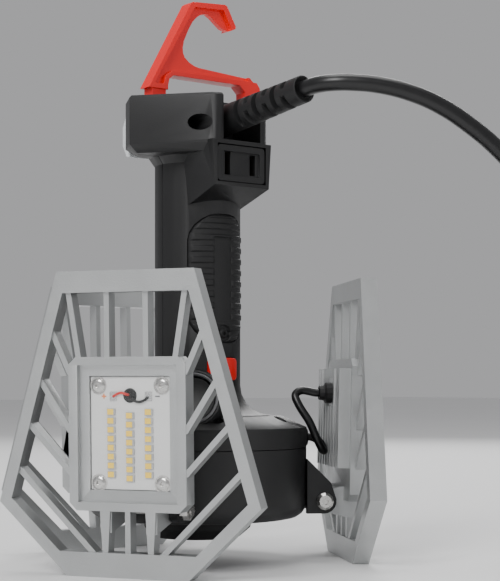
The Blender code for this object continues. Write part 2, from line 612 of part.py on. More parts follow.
BOX_HALF, BOX_Z0, BOX_Z1 = 24.4 * MM, 0.4 * MM, 58.9 * MM      # above the hinge line
BOX_FRONT_A, FIN_ROOT_A, FIN_TIP_A = 16.0 * MM, 8.6 * MM, 3.8 * MM
GLAND_A = 5.2 * MM
WINDOW_HALF, WINDOW_Z0, WINDOW_Z1 = 20.7 * MM, 3.6 * MM, 55.8 * MM
WELL_HALF, WELL_Z0, WELL_Z1 = 16.8 * MM, 8.2 * MM, 51.6 * MM
BOARD_A = 12.6 * MM
GLAND_Z = 44.6 * MM


def frame_outline():
    low = -BOTTOM_DROP
    half = [(FOOT_HALF, low), (WIDE_HALF, low + WIDE_RISE), (TOP_HALF, low + HEAD_HEIGHT)]
    return half + [(-w, z) for w, z in reversed(half)]


def head_ribs():
    """Every rib as start, end, width and end width, from the frame to the light box."""
    top = HEAD_HEIGHT - BOTTOM_DROP
    ribs = []
    for side in (-1, 1):
        ribs += [((side * 8.1, top / MM - 5), (side * 8.1, 57.5), 2.2, 2.2),
                 ((side * 24.9, top / MM - 4), (side * 20.0, 57.5), 2.2, 2.2),
                 ((side * 32.4, 70.6), (side * 23.9, 52.5), 2.2, 2.2),
                 ((side * 38.0, 52.0), (side * 23.9, 30.5), 2.2, 2.2),
                 ((side * 43.0, 34.6), (side * 23.9, 14.5), 2.2, 2.2),
                 ((side * 48.3, 17.8), (side * 14.2, -16.1), 2.2, 2.2),
                 ((side * 9.5, -16.5), (side * 9.5, 1.5), 2.2, 4.4)]
    ribs.append(((0.0, -16.5), (0.0, 1.5), 2.2, 2.2))
    return ribs


def casting(name, parent):
    """Frame, ribs, light box, back fins and hinge lugs, cast in one piece."""
    back = FRONT_A - FRAME_DEPTH
    outline = frame_outline()
    body = add_object(name, prism(outline, -FRONT_A, -back, "xz"), "cast_silver", parent,
                      Matrix.Identity(4))
    inner = inset_outline(outline, LEG_WIDTH)
    low, high = -BOTTOM_DROP + 9.4 * MM, HEAD_HEIGHT - BOTTOM_DROP - 8.2 * MM
    hole = add_object("opening", prism(inner, -FRONT_A - 5 * MM, -back + 5 * MM, "xz"))
    combine(hole, block(-90 * MM, 90 * MM, -60 * MM, 20 * MM, low, high), "INTERSECT")
    cutter = bmesh.new()
    cutter.from_mesh(hole.data)
    bpy.data.objects.remove(hole)
    combine(body, cutter)

    corner = 3.0 * MM
    w, z0, z1 = BOX_HALF, BOX_Z0, BOX_Z1
    octagon = [(w, z0 + corner), (w, z1 - corner), (w - corner, z1), (-w + corner, z1),
               (-w, z1 - corner), (-w, z0 + corner), (-w + corner, z0), (w - corner, z0)]
    join(body, prism(octagon, -BOX_FRONT_A, -FIN_ROOT_A, "xz"))
    for (w0, h0), (w1, h1), width, end_width in head_ribs():
        join(body, bar((w0 * MM, h0 * MM), (w1 * MM, h1 * MM), width * MM, back + 0.4 * MM,
                       FRONT_A - 1.2 * MM, end_width * MM))
    join(body, slab(-6.0 * MM, 6.0 * MM, GLAND_A, FIN_ROOT_A + 1 * MM, GLAND_Z - 5.5 * MM,
                    GLAND_Z + 6.5 * MM))
    fins = 9
    for k in range(fins):
        w = (k - (fins - 1) / 2) * 5.2 * MM
        top = GLAND_Z - 5.5 * MM if abs(w) < 6 * MM else BOX_Z1 - 4 * MM
        join(body, slab(w - 0.8 * MM, w + 0.8 * MM, FIN_TIP_A, FIN_ROOT_A + 1 * MM, 14 * MM, top))
    lug_front = -FRONT_A + 2.2 * MM
    lug = ([(lug_front, 6.0 * MM), (lug_front, -8.0 * MM)] + arc(0, 0, 4.6 * MM, -100, 100, 8)
           + [(-9.0 * MM, 6.0 * MM)])
    for side in (-1, 1):
        low_w, high_w = sorted((side * LUG_IN, side * LUG_OUT))
        join(body, prism(lug, low_w, high_w, "yz"))
    combine(body, rod((-20 * MM, 0, 0), (20 * MM, 0, 0), BOLT_R + GAP, 12))
    combine(body, slab(-WINDOW_HALF, WINDOW_HALF, BOX_FRONT_A - 2.4 * MM, 40 * MM, WINDOW_Z0, WINDOW_Z1))
    combine(body, slab(-WELL_HALF, WELL_HALF, 10.6 * MM, 40 * MM, WELL_Z0, WELL_Z1))
    combine(body, rod((0, 10 * MM, GLAND_Z), (0, -20 * MM, GLAND_Z), 2.9 * MM, 10))
    return body


def light_head(side, turn):
    """One head about its hinge line: everything in it has its origin on the joint's axis."""
    pivot = bpy.data.objects.new(f"pivot_{side}", None)
    bpy.context.collection.objects.link(pivot)
    pivot.parent = root
    pivot.matrix_basis = (Matrix.Rotation(math.radians(turn), 4, "Z")
                          @ Matrix.Translation((0, -HINGE_R, HINGE_Z))
                          @ Matrix.Rotation(HEAD_TILT, 4, "X"))
    same = Matrix.Identity(4)
    casting(f"casting_{side}", pivot)
    glass_a = BOX_FRONT_A - 2.4 * MM + GAP
    add_object(f"window_{side}", slab(-WINDOW_HALF + GAP, WINDOW_HALF - GAP, glass_a,
                                      glass_a + 1.6 * MM, WINDOW_Z0 + GAP, WINDOW_Z1 - GAP),
               "clear_glass", pivot, same)
    board = add_object(f"led_board_{side}", slab(-WELL_HALF + GAP, WELL_HALF - GAP, 10.6 * MM + GAP,
                                                 BOARD_A, WELL_Z0 + GAP, WELL_Z1 - GAP),
                       "white_board", pivot, same)
    combine(board, rod((0, 10 * MM, GLAND_Z), (0, -20 * MM, GLAND_Z), 2.1 * MM, 10))
    turned = Matrix.Rotation(math.radians(-90), 4, "X")
    gland = [(LEAD_R + GAP, 0.0), (4.4 * MM, 0.0), (4.4 * MM, 2.4 * MM), (3.2 * MM, 3.2 * MM),
             (3.0 * MM, 5.2 * MM), (LEAD_R + GAP, 5.2 * MM)]
    add_object(f"cable_gland_{side}", lathe(gland, 12), "black_rubber", pivot,
               Matrix.Translation((0, -GLAND_A + GAP, GLAND_Z)) @ turned)


def hinge_hardware(side, turn):
    """The bolt through ears and lugs, and its nut, which stay with the hub."""
    place = (Matrix.Rotation(math.radians(turn), 4, "Z")
             @ Matrix.Translation((0, -HINGE_R, HINGE_Z)) @ Matrix.Rotation(math.radians(-90), 4, "Y"))
    face = EAR_OUT + GAP
    bolt = [(0.0, face + 2.4 * MM), (2.6 * MM, face + 2.4 * MM), (3.6 * MM, face + 1.2 * MM),
            (3.6 * MM, face), (BOLT_R, face), (BOLT_R, -face - 4.2 * MM), (0.0, -face - 4.2 * MM)]
    shaft = add_object(f"hinge_bolt_{side}", lathe(bolt, 12), "nickel", matrix=place)
    combine(shaft, prism(arc(0, 0, 1.5 * MM, 0, 300, 5), face + 1.2 * MM, face + 5 * MM))
    nut_out, nut_in = arc(0, 0, 3.9 * MM, 0, 300, 5), BOLT_R + GAP
    nut = add_object(f"hinge_nut_{side}", prism(nut_out, -face - 3.2 * MM, -face), "nickel", matrix=place)
    combine(nut, rod((0, 0, -40 * MM), (0, 0, 0), nut_in, 12))


def head_lead(side, turn):
    """The short lead from the hub up to the head's gland, and its grommet in the hub's wall."""
    place = [(4.5, 43.0, 50.9), (4.5, 49.2, 50.8), (3.4, 52.6, 48.6), (0.0, 53.6, 45.6),
             (-4.0, 52.0, 46.0), (-6.0, 49.2, 51.0), (-5.4, 46.4, 57.5), (-3.2, 42.6, 64.0),
             (-1.0, 41.2, 68.6), (0.0, 44.2, 70.6)]
    gland_mouth = Matrix.Rotation(HEAD_TILT, 3, "X") @ Vector((0, -(GLAND_A - 5.7 * MM), GLAND_Z))
    end = Vector((0, -HINGE_R, HINGE_Z)) + gland_mouth
    spin = Matrix.Rotation(math.radians(turn), 3, "Z")
    points = [head_point(turn, w * MM, r * MM, z * MM) for w, r, z in place]
    points += [spin @ (end + Vector((0, 1.6 * MM, 0))), spin @ end]
    tube(f"head_lead_{side}", smooth_route(points, 4.4 * MM), LEAD_R, "cord_vinyl", 2)
    ring = [(LEAD_R + GAP, -3.6 * MM), (2.6 * MM, -3.6 * MM), (2.6 * MM, 0.9 * MM), (4.3 * MM, 0.9 * MM),
            (3.6 * MM, 2.3 * MM), (LEAD_R + GAP, 2.3 * MM)]
    outward = head_point(turn, 0, 1, 0)
    matrix = (Matrix.Translation(exit_point(turn, 44.9 * MM))
              @ outward.to_track_quat("Z", "Y").to_matrix().to_4x4())
    add_object(f"grommet_{side}", lathe(ring, 12), "black_rubber", matrix=matrix)


# ---- mains cord ---------------------------------------------------------------------------------
def strain_relief():
    """The tapered boot that holds the cord in the notch above the outlet."""
    base = RELIEF_TIP - RELIEF_DIR * RELIEF_LENGTH
    return add_object("strain_relief", rod(base, RELIEF_TIP, 6.3 * MM, 20, 5.3 * MM), "black_rubber")


CORD_ROUTE = [(0.0, -68.4, 186.2), (0.6, -75.0, 186.8), (3.4, -81.6, 187.0), (8.4, -87.0, 186.8),
              (15.8, -93.2, 185.8), (24.4, -100.3, 183.0), (32.8, -106.8, 178.6),
              (42.6, -114.6, 170.4), (51.2, -121.4, 161.0), (60.0, -128.6, 148.0),
              (68.4, -137.5, 131.0), (75.8, -147.2, 110.0), (82.0, -157.9, 86.0),
              (88.0, -171.0, 60.0), (94.2, -182.8, 35.0), (101.4, -191.4, 16.4),
              (110.0, -194.2, 6.6), (119.0, -194.6, 3.8)]


def mains_cord():
    """The cord from the boot down to the coil, the coil's solid, and the plug lying on it."""
    route = [Vector(p) * MM for p in CORD_ROUTE]
    tube("cord", smooth_route(route, 8.0 * MM), CORD_R, "cord_vinyl", 3)
    coil = [(COIL_IN_R, 0.0), (COIL_OUT_R, 0.0), (COIL_OUT_R, COIL_HEIGHT), (COIL_IN_R, COIL_HEIGHT)]
    add_object("cord_coil", lathe(coil, 40, COIL_CENTRE[:2]), "cord_vinyl")


def plug():
    """A two-blade plug lying along the top of the coil, in line with its last turn."""
    middle = (COIL_IN_R + COIL_OUT_R) / 2
    place = (Matrix.Translation(COIL_CENTRE + Vector((middle, 5 * MM, COIL_HEIGHT + GAP)))
             @ Matrix.Rotation(math.radians(90), 4, "Z"))
    body = [[(-24, 3.6), (-24, -3.6)], [(-10, 4.6), (-10, -4.6)], [(-8, 8.2), (-8, -8.2)],
            [(12, 8.6), (12, -8.6)], [(14, 7.8), (14, -7.8)]]
    heights = ((3.4, 10.2), (2.6, 11.0), (0.2, 13.4), (0.0, 13.6), (0.6, 13.0))
    rings = []
    for ((px, half), _), (low, high) in zip(body, heights):
        rings.append([(px * MM, -half * MM, low * MM), (px * MM, half * MM, low * MM),
                      (px * MM, half * MM, high * MM), (px * MM, -half * MM, high * MM)])
    add_object("plug", loft(rings), "black_rubber", matrix=place)
    for side, tall in ((-1, 7.9 * MM), (1, 6.3 * MM)):
        name = "plug_blade_wide" if side < 0 else "plug_blade_narrow"
        blade_y = side * BLADE_PITCH / 2
        blade = block(14.3 * MM, 31 * MM, blade_y - 0.75 * MM, blade_y + 0.75 * MM,
                      6.8 * MM - tall / 2, 6.8 * MM + tall / 2)
        add_object(name, blade, "brass", matrix=place)


def build():
    outside = handle_outside()
    hollow_out(outside)
    shells = split_shells(outside)
    screw_bosses(shells)
    hook_sockets(shells)
    grip_and_button(shells[0])
    cap_room = rod(CAP_CENTRE - CAP_DIR * 15.4 * MM, CAP_CENTRE + CAP_DIR * 9 * MM, CAP_OUT_R + GAP, 28)
    combine(shells[0], cap_room)
    hub_cover()
    round_cap()
    hub_base()
    fasteners()
    outlet()
    task_lens()
    hook()
    for side, turn in HEAD_TURNS.items():
        light_head(side, turn)
        hinge_hardware(side, turn)
        head_lead(side, turn)
    strain_relief()
    mains_cord()
    plug()


build()
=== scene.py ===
# %% [markdown]
# # A handheld work light with three tilting heads
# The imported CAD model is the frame: it holds every piece's place, the bodies and the joints.
# This scene keeps that frame and gives it its looks: LED chips under the glass, ridges on the
# grip, a slotted boot on the cord, and a procedural finish everywhere.
# All lengths are in metres, Z is up, and the front of the object faces -Y.

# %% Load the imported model
import math

import bmesh
import bpy
import numpy as np
from mathutils import Matrix, Vector


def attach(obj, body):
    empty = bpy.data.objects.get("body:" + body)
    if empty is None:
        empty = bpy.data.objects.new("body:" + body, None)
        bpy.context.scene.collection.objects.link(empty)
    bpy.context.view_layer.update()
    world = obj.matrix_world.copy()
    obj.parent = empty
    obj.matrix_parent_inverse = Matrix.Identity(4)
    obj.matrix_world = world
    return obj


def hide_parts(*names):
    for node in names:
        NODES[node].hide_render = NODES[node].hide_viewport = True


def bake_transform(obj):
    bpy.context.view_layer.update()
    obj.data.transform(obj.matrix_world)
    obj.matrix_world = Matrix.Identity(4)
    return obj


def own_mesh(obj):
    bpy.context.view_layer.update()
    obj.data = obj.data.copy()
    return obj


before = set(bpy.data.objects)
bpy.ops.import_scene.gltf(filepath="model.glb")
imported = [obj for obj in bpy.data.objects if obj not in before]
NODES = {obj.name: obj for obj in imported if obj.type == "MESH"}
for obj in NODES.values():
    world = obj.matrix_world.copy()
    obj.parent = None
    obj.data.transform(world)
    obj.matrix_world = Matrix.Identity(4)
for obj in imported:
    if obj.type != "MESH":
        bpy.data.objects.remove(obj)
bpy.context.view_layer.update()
MM = 0.001
AXIS_Y = 5.6 * MM
HEADS = {"left": -60.0, "right": 60.0, "rear": 180.0}   # degrees round the hub from the front
HINGE_R, HINGE_Z = 50.8 * MM, 25.079 * MM               # each head's hinge line
HEAD_TILT = math.radians(1.3)                           # the heads lean out a little at rest
GLAND_Z = 44.6 * MM                                     # the gland's height above the hinge

# %% [markdown]
# ## Camera, floor and light
# The camera stands in front, a little to the left, at mid height and with a long lens, so that
# upright edges stay upright. A vertical shift frames the object without tilting the camera.

# %% Camera, floor and soft studio light
scene = bpy.context.scene
CAMERA_DISTANCE, CAMERA_SIDE, CAMERA_Z = 0.645, 0.02185, 0.0731
side_dir, back_dir = Vector((0.7815, -0.6239, 0.0)), Vector((-0.6239, -0.7815, 0.0))
camera_data = bpy.data.cameras.new("camera")
camera_data.sensor_fit = "VERTICAL"
camera_data.sensor_height = 36.0
camera_data.lens = 95.86
camera_data.shift_y = 0.162
camera = bpy.data.objects.new("camera", camera_data)
scene.collection.objects.link(camera)
turn = Matrix((side_dir, Vector((0, 0, 1)), back_dir)).transposed().to_4x4()
spot = back_dir * CAMERA_DISTANCE + side_dir * CAMERA_SIDE + Vector((0, AXIS_Y, CAMERA_Z))
camera.matrix_world = Matrix.Translation(spot) @ turn
scene.camera = camera

floor_mesh = bpy.data.meshes.new("floor")
floor_mesh.from_pydata([(-6, -6, 0), (6, -6, 0), (6, 6, 0), (-6, 6, 0)], [], [(0, 1, 2, 3)])
floor = bpy.data.objects.new("floor", floor_mesh)
scene.collection.objects.link(floor)


def area_light(name, place, target, size, power):
    """A square soft box at place, aimed at target."""
    data = bpy.data.lights.new(name, "AREA")
    data.size, data.energy = size, power
    lamp = bpy.data.objects.new(name, data)
    scene.collection.objects.link(lamp)
    aim = (Vector(target) - Vector(place)).to_track_quat("-Z", "Y")
    lamp.matrix_world = Matrix.Translation(place) @ aim.to_matrix().to_4x4()
    return lamp


middle = (0.0, 0.0, 0.11)
area_light("key", (-1.1, -0.5, 1.0), middle, 0.6, 15.0)
area_light("fill", (0.5, -1.5, 0.5), middle, 0.7, 2.5)
area_light("top", (0.1, 0.1, 1.4), middle, 0.8, 8.0)
area_light("rim", (0.9, 0.8, 0.7), middle, 0.6, 6.0)
world = bpy.data.worlds.new("studio")
world.use_nodes = True
world.node_tree.nodes["Background"].inputs["Color"].default_value = (0.96, 0.96, 0.98, 1.0)
world.node_tree.nodes["Background"].inputs["Strength"].default_value = 0.42
scene.world = world
print("camera at", [round(c, 3) for c in camera.location], "and 4 soft lights")

# %% [markdown]
# ## Shader maths
# A `Value` wraps one node socket. Arithmetic on it adds Math nodes, so a finish reads as a formula.

# %% The socket class
class Value:
    """A shader value in one material; + - * / add Math nodes, on either side of a number."""

    def __init__(self, tree, socket):
        self.tree, self.socket = tree, socket

    def node(self, kind, output=0, settings=None, **inputs):
        """Add any node, set its properties and inputs, and return one output as a Value."""
        made = self.tree.nodes.new(kind)
        for key, setting in (settings or {}).items():
            setattr(made, key, setting)
        for key, given in inputs.items():
            slot = made.inputs[key.replace("_", " ") if isinstance(key, str) else key]
            plug_in(self.tree, slot, given)
        return Value(self.tree, made.outputs[output])

    def math(self, operation, other=0.0, swap=False):
        made = self.tree.nodes.new("ShaderNodeMath")
        made.operation = operation
        first, second = (other, self) if swap else (self, other)
        plug_in(self.tree, made.inputs[0], first)
        plug_in(self.tree, made.inputs[1], second)
        return Value(self.tree, made.outputs[0])

    def __add__(self, other):
        return self.math("ADD", other)

    def __sub__(self, other):
        return self.math("SUBTRACT", other)

    def __mul__(self, other):
        return self.math("MULTIPLY", other)

    def __truediv__(self, other):
        return self.math("DIVIDE", other)

    def __radd__(self, other):
        return self.math("ADD", other, swap=True)

    def __rsub__(self, other):
        return self.math("SUBTRACT", other, swap=True)

    def __rmul__(self, other):
        return self.math("MULTIPLY", other, swap=True)

    def __rtruediv__(self, other):
        return self.math("DIVIDE", other, swap=True)


def plug_in(tree, slot, given):
    """Link a Value to an input, or set the input to a plain number or colour."""
    if isinstance(given, Value):
        tree.links.new(given.socket, slot)
    else:
        slot.default_value = given


def noise(where, scale, detail=3.0, roughness=0.5):
    """Fractal noise in 0..1 at `scale` features per metre."""
    return where.node("ShaderNodeTexNoise", Vector=where, Scale=scale, Detail=detail,
                      Roughness=roughness)


def between(factor, low, high):
    """A colour between two, low at 0 and high at 1."""
    mix = factor.tree.nodes.new("ShaderNodeMix")
    mix.data_type = "RGBA"
    plug_in(factor.tree, mix.inputs["Factor"], factor)
    plug_in(factor.tree, mix.inputs["A"], (*low, 1.0))
    plug_in(factor.tree, mix.inputs["B"], (*high, 1.0))
    return Value(factor.tree, mix.outputs["Result"])


print("shader maths ready")

# %% [markdown]
# ## Finishes
# Each finish is a Principled surface with three scales of unevenness: a broad drift of tone, a
# mid-size drift of gloss, and a fine grain in the surface itself, as moulding, casting or powder
# coat leaves it.

# %% Every material
MATERIALS = {}


def finish_material(name, dark, light, gloss, spread, grain, depth, metal=0.0, tone=60.0,
                    alpha=1.0, coat=0.0, glow=None):
    """Make a finish: colours dark..light by broad noise, roughness gloss +- spread, and a grain
    of `grain` features per metre and `depth` metres deep."""
    mat = bpy.data.materials.new(name)
    mat.use_nodes = True
    tree = mat.node_tree
    shader = tree.nodes["Principled BSDF"]
    coords = tree.nodes.new("ShaderNodeTexCoord")
    where = Value(tree, coords.outputs["Object"])
    broad = noise(where, tone, 4.0)
    plug_in(tree, shader.inputs["Base Color"], between(broad, dark, light))
    rough = gloss + spread * (noise(where, tone * 4.0, 2.0) - 0.5) * 2.0
    plug_in(tree, shader.inputs["Roughness"], rough)
    height = noise(where, grain, 2.0, 0.6)
    bump = where.node("ShaderNodeBump", Height=height, Distance=depth, Strength=1.0)
    plug_in(tree, shader.inputs["Normal"], bump)
    shader.inputs["Metallic"].default_value = metal
    shader.inputs["Alpha"].default_value = alpha
    shader.inputs["Coat Weight"].default_value = coat
    if glow:
        shader.inputs["Emission Color"].default_value = (*glow, 1.0)
        shader.inputs["Emission Strength"].default_value = 0.15
    MATERIALS[name] = mat
    return mat


finish_material("black_plastic", (0.004, 0.004, 0.0045), (0.007, 0.007, 0.0075), 0.48, 0.06,
                2600.0, 0.00004)
finish_material("red_plastic", (0.78, 0.003, 0.002), (0.86, 0.005, 0.003), 0.36, 0.05,
                1500.0, 0.00002)
finish_material("cast_silver", (0.44, 0.45, 0.45), (0.54, 0.55, 0.55), 0.42, 0.06,
                1700.0, 0.00010, metal=0.75)
finish_material("clear_glass", (0.90, 0.95, 0.95), (0.95, 0.98, 0.98), 0.04, 0.015,
                300.0, 0.000004, alpha=0.02)
finish_material("seat_grey", (0.10, 0.10, 0.105), (0.15, 0.15, 0.155), 0.45, 0.05,
                1800.0, 0.00002, metal=0.5)
finish_material("white_board", (0.74, 0.74, 0.73), (0.82, 0.82, 0.81), 0.42, 0.05,
                2000.0, 0.00001)
finish_material("black_rubber", (0.004, 0.004, 0.0045), (0.008, 0.008, 0.0085), 0.62, 0.07,
                2400.0, 0.00006)
finish_material("nickel", (0.58, 0.57, 0.55), (0.70, 0.69, 0.67), 0.26, 0.06,
                1800.0, 0.00001, metal=1.0)
finish_material("frosted_lens", (0.66, 0.68, 0.69), (0.74, 0.76, 0.77), 0.38, 0.05,
                1600.0, 0.00003)
finish_material("cord_vinyl", (0.003, 0.003, 0.0035), (0.006, 0.006, 0.0065), 0.36, 0.06,
                1200.0, 0.00002)
finish_material("brass", (0.62, 0.44, 0.18), (0.74, 0.55, 0.26), 0.28, 0.06,
                1600.0, 0.00001, metal=1.0)
finish_material("green_board", (0.02, 0.13, 0.05), (0.03, 0.19, 0.08), 0.42, 0.05,
                1400.0, 0.00002)
# painted highlight: a grey far lighter than the black plastic, standing in for the highlight along the
# bezel's rim
finish_material("painted_highlight_ring", (0.10, 0.10, 0.105), (0.17, 0.17, 0.175), 0.26, 0.04,
                1500.0, 0.00001)
# painted shade: near-black and rough, for the sunk screws and the wire holes, standing in for the shade
# inside the holes
finish_material("painted_hole_shade", (0.004, 0.004, 0.004), (0.007, 0.007, 0.007), 0.72, 0.05,
                1800.0, 0.00003)
finish_material("led_phosphor", (0.95, 0.60, 0.05), (1.0, 0.70, 0.09), 0.40, 0.05,
                2500.0, 0.00002, tone=400.0, glow=(1.0, 0.74, 0.10))
finish_material("led_frame", (0.38, 0.39, 0.40), (0.50, 0.51, 0.52), 0.40, 0.06,
                2500.0, 0.00001)
finish_material("solder", (0.62, 0.62, 0.62), (0.74, 0.74, 0.74), 0.26, 0.06,
                1800.0, 0.00004, metal=1.0)
finish_material("red_wire", (0.62, 0.02, 0.015), (0.72, 0.03, 0.02), 0.38, 0.05,
                1500.0, 0.00002)
finish_material("orange_ink", (0.80, 0.20, 0.03), (0.88, 0.26, 0.05), 0.55, 0.05,
                2000.0, 0.00001)
finish_material("grey_ink", (0.14, 0.14, 0.15), (0.20, 0.20, 0.21), 0.55, 0.05,
                2000.0, 0.00001)
finish_material("pale_floor", (0.84, 0.84, 0.84), (0.88, 0.88, 0.88), 0.70, 0.05,
                300.0, 0.00002, tone=2.0)
floor_mesh.materials.append(MATERIALS["pale_floor"])
print(len(MATERIALS), "finishes")

# %% [markdown]
# ## Tools for pieces
# New surfaces are computed on grids: a formula gives every point at once, and the faces join
# neighbouring rows and columns.

# %% Mesh tools
def new_piece(name, points, faces, material, smooth=True, sharp=35.0):
    """An object of numpy points and faces, at the origin."""
    mesh = bpy.data.meshes.new(name)
    mesh.from_pydata(np.asarray(points, float).tolist(), [], np.asarray(faces).tolist())
    mesh.validate()
    if smooth:
        mesh.shade_smooth()
        mesh.set_sharp_from_angle(angle=math.radians(sharp))
    mesh.materials.append(MATERIALS[material])
    obj = bpy.data.objects.new(name, mesh)
    scene.collection.objects.link(obj)
    return obj


def grid_faces(rows, columns, wrap=False):
    """Quads over a rows x columns grid of points; wrap joins the last column to the first."""
    r = np.arange(rows - 1)[:, None]
    c = np.arange(columns if wrap else columns - 1)[None, :]
    nxt = (c + 1) % columns
    quads = np.stack([r * columns + c, r * columns + nxt, (r + 1) * columns + nxt,
                      (r + 1) * columns + c], axis=-1)
    return quads.reshape(-1, 4)


def turned(name, profile, sides, place, material):
    """A surface of revolution: point(i, a) = (r_i cos a, r_i sin a, z_i), placed by a matrix.
    The profile starts and ends on the axis, where a ring shrinks to one point and is welded."""
    radius, height = np.array(profile, float).T
    a = np.linspace(0.0, 2 * np.pi, sides, endpoint=False)
    points = np.stack([radius[:, None] * np.cos(a), radius[:, None] * np.sin(a),
                       np.repeat(height[:, None], sides, 1)], -1).reshape(-1, 3)
    obj = new_piece(name, placed(points, place), grid_faces(len(radius), sides, wrap=True), material)
    return welded(obj)


def placed(points, place):
    """Points moved by a 4x4 matrix: p' = R p + t."""
    m = np.array(place)
    return np.asarray(points, float) @ m[:3, :3].T + m[:3, 3]


def welded(obj):
    """Join points that coincide and make the faces look outward."""
    bm = bmesh.new()
    bm.from_mesh(obj.data)
    bmesh.ops.remove_doubles(bm, verts=bm.verts[:], dist=1e-6)
    bmesh.ops.dissolve_degenerate(bm, dist=1e-7, edges=bm.edges[:])
    bmesh.ops.recalc_face_normals(bm, faces=bm.faces[:])
    if bm.calc_volume(signed=True) < 0:
        bmesh.ops.reverse_faces(bm, faces=bm.faces[:])
    bm.to_mesh(obj.data)
    bm.free()
    return obj


def boxes(name, centres, size, place, material):
    """Equal boxes about several centres: every corner is centre + (+-1, +-1, +-1) size / 2."""
    signs = np.array([(x, y, z) for x in (-1, 1) for y in (-1, 1) for z in (-1, 1)], float)
    sides = np.array([(0, 1, 3, 2), (4, 6, 7, 5), (0, 4, 5, 1), (2, 3, 7, 6), (0, 2, 6, 4),
                      (1, 5, 7, 3)])
    centres = np.asarray(centres, float)
    points = (centres[:, None, :] + signs[None] * np.asarray(size, float) / 2).reshape(-1, 3)
    faces = (np.arange(len(centres))[:, None, None] * 8 + sides[None]).reshape(-1, 4)
    return new_piece(name, placed(points, place), faces, material, smooth=False)


def wire(name, route, radius, material):
    """A thin round wire: a smooth curve through the route, with its ends closed."""
    curve = bpy.data.curves.new(name, "CURVE")
    curve.dimensions = "3D"
    curve.bevel_depth, curve.bevel_resolution = radius, 3
    curve.use_fill_caps = True
    curve.resolution_u = 6
    spline = curve.splines.new("BEZIER")
    spline.bezier_points.add(len(route) - 1)
    for point, place in zip(spline.bezier_points, route):
        point.co = place
        point.handle_left_type = point.handle_right_type = "AUTO"
    curve.materials.append(MATERIALS[material])
    obj = bpy.data.objects.new(name, curve)
    scene.collection.objects.link(obj)
    return obj


def tube_grid(line, radius, sides):
    """Rings about a line: C + R (n cos a + b sin a), with n and b carried along the line so that
    the tube doesn't twist. Each end is closed by a ring shrunk to a point."""
    line = np.asarray(line, float)
    along = np.gradient(line, axis=0)
    along /= np.linalg.norm(along, axis=1)[:, None]
    normals = np.zeros_like(line)
    normal = np.cross(along[0], (0.3, 0.2, 1.0))
    for i, direction in enumerate(along):
        normal = normal - direction * normal.dot(direction)
        normal /= np.linalg.norm(normal)
        normals[i] = normal
    other = np.cross(along, normals)
    angle = np.linspace(0.0, 2 * np.pi, sides, endpoint=False)
    ring = (line[:, None] + radius * (normals[:, None] * np.cos(angle)[None, :, None]
                                      + other[:, None] * np.sin(angle)[None, :, None]))
    ends = [np.repeat(line[i][None, None], sides, 1) for i in (0, -1)]
    return np.concatenate([ends[0], ring, ends[1]])


def dress(node, material):
    """Give a CAD node that stays as it is its finish."""
    mesh = NODES[node].data
    mesh.materials.clear()
    mesh.materials.append(MATERIALS[material])


def softened(node, body, material, width, segments=2, angle=30.0):
    """A merged copy of a CAD node in its place, its sharp edges bevelled by at most `width`. The
    overlap clamp narrows the bevel on the whole piece to what its shortest edges leave room for."""
    source = NODES[node]
    mesh = bpy.data.meshes.new(node + "_soft")
    bm = bmesh.new()
    bm.from_mesh(source.data)
    bmesh.ops.remove_doubles(bm, verts=bm.verts[:], dist=2e-6)
    bmesh.ops.dissolve_limit(bm, angle_limit=math.radians(0.6), verts=bm.verts[:],
                             edges=bm.edges[:])
    bm.to_mesh(mesh)
    bm.free()
    mesh.shade_smooth()
    mesh.set_sharp_from_angle(angle=math.radians(40))
    mesh.materials.append(MATERIALS[material])
    obj = bpy.data.objects.new(node + "_soft", mesh)
    scene.collection.objects.link(obj)
    bevel = obj.modifiers.new("edge", "BEVEL")
    bevel.width, bevel.segments = width, segments
    bevel.limit_method, bevel.angle_limit = "ANGLE", math.radians(angle)
    bevel.use_clamp_overlap, bevel.harden_normals = True, True
    bevel.miter_outer = "MITER_ARC"
    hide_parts(node)
    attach(obj, body)
    return obj


def hub_point(x, y, z):
    """A point given from the hub's axis, in the row frame."""
    return Vector((x, y + AXIS_Y, z))


def head_matrix(name):
    """A head's own axes (w sideways, -a outward, z up from its hinge) in the row frame."""
    tilt = Matrix.Rotation(HEAD_TILT, 4, "X")
    return (Matrix.Translation((0, AXIS_Y, 0)) @ Matrix.Rotation(math.radians(HEADS[name]), 4, "Z")
            @ Matrix.Translation((0, -HINGE_R, HINGE_Z)) @ tilt)


print("mesh tools ready")

# %% [markdown]
# ## The cord
# From the tapered boot at the top front the cord arches over and falls to the floor on the right.
# There the rest of it lies in a flat coil of three layers, and the plug rests on top. The whole
# cord is 1.785 m, close to the 1.8 m that such lights usually have.

# %% The cord, its coil and its plug
CORD_R = 3.2 * MM
COIL_X, COIL_Y = 118.0 * MM, -146.0 * MM
PITCH = 6.75 * MM
hanging = np.array([
    (0.0, -68.4, 186.2), (0.6, -75.0, 186.8), (3.4, -81.6, 187.0), (8.4, -87.0, 186.8),
    (15.8, -93.2, 185.8), (24.4, -100.3, 183.0), (32.8, -106.8, 178.6), (42.6, -114.6, 170.4),
    (51.2, -121.4, 161.0), (60.0, -128.6, 148.0), (68.4, -137.5, 131.0), (75.8, -147.2, 110.0),
    (82.0, -157.9, 86.0), (88.0, -171.0, 60.0), (94.2, -182.8, 35.0), (101.4, -191.4, 16.4),
    (110.0, -194.2, 6.8)]) * MM


def coil_points(stages, radius, height, start_turn, per_turn=15):
    """Points of a layered coil. Each stage is (turns, change of radius, change of height), and
    the point at turn t is centre + r(t) (cos 2 pi t, sin 2 pi t), z(t), with r and z linear."""
    t, r, z = [start_turn], [radius], [height]
    for turns, grow, rise in stages:
        t.append(t[-1] + turns)
        r.append(r[-1] + grow)
        z.append(z[-1] + rise)
    at = np.arange(t[0], t[-1], 1.0 / per_turn)
    rr, zz = np.interp(at, t, r), np.interp(at, t, z)
    angle = 2 * np.pi * at
    return np.stack([COIL_X + rr * np.cos(angle), COIL_Y + rr * np.sin(angle), zz], -1)


